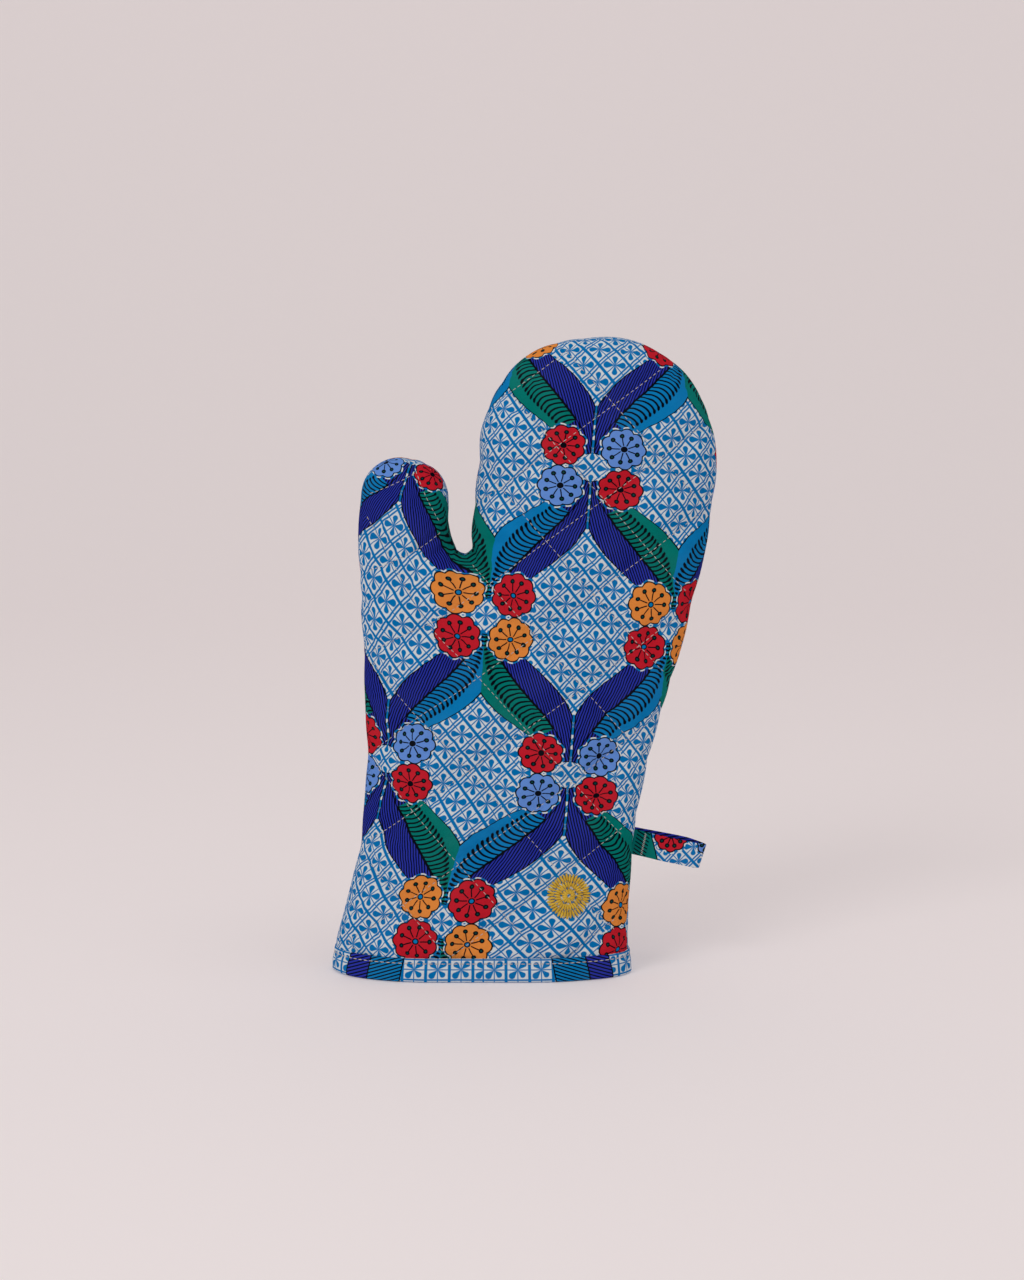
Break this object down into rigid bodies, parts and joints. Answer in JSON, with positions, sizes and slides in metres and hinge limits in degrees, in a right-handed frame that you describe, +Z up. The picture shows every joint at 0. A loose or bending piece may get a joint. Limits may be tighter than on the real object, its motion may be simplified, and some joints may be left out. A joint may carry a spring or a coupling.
{
  "type": "oven mitt",
  "caption": "Quilted cotton oven mitt with a thumb, a bound open cuff and a hanging loop sewn into the side seam.",
  "frame": {"origin": "bottom centre of the whole mitt's bounding box, on the surface that the cuff stands on", "axes": "+Z up from the cuff to the finger tip, +X towards the side with the hanging loop, -Y towards the front"},
  "size_m": [0.199, 0.069, 0.33],
  "materials": {
    "printed_cotton": "printed cotton twill, matt",
    "cotton_wadding": "needled cotton wadding",
    "lining_cotton": "plain woven cotton, matt",
    "cotton_thread": "twisted sewing thread",
    "gold_thread": "satin embroidery thread"
  },
  "bodies": {
    "mitt": {"front_outer_panel": "printed_cotton", "back_outer_panel": "printed_cotton", "front_wadding": "cotton_wadding", "back_wadding": "cotton_wadding", "front_lining": "lining_cotton", "back_lining": "lining_cotton", "cuff_binding": "printed_cotton", "cuff_topstitching": "cotton_thread", "front_quilting_thread": "cotton_thread", "back_quilting_thread": "cotton_thread", "embroidered_motif": "gold_thread", "loop_seam_end": "printed_cotton"},
    "loop": {"hanging_loop": "printed_cotton", "loop_bar_tack": "cotton_thread"}
  },
  "joints": [
    {"name": "loop_flex", "type": "hinge", "parent": "mitt", "child": "loop", "pos_m": [0.059, 0, 0.067], "axis": [0.2079, 0, 0.9781], "range_deg": [-60, 60], "stiffness_Nm_per_rad": 0.0005}
  ]
}
